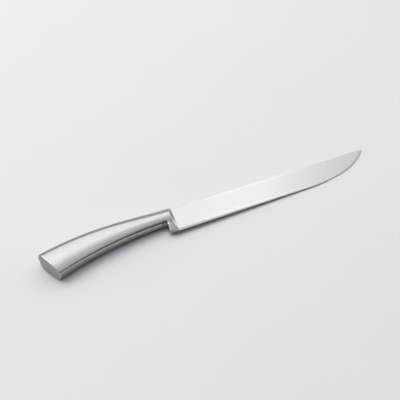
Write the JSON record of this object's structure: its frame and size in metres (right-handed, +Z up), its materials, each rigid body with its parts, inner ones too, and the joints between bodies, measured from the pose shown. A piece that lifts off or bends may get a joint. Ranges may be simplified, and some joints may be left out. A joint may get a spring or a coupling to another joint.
{
  "type": "carving knife",
  "caption": "All-steel carving knife lying on its side: a long slicing blade, a guarded bolster and a hollow, drooping handle that flares to a domed butt.",
  "frame": {"origin": "on the table, under the middle of the knife's bounding box", "axes": "+X from the butt to the tip, +Y from the cutting edge to the blade's back, +Z up from the table; the knife lies on its left side"},
  "size_m": [0.3302, 0.0387, 0.015],
  "materials": {
    "blade_steel": "ground along its width and finely polished",
    "bolster_steel": "satin polished, flush with the handle",
    "handle_steel": "satin brushed along the handle",
    "cap_steel": "satin polished",
    "pin_steel": "turned",
    "weight_steel": "as sawn",
    "filler": "cast"
  },
  "bodies": {
    "root": {"blade": "blade_steel", "bolster": "bolster_steel", "right_handle_shell": "handle_steel", "left_handle_shell": "handle_steel", "butt_cap": "cap_steel", "tang_pins": "pin_steel", "balance_weight": "weight_steel", "resin_core": "filler"}
  },
  "joints": []
}
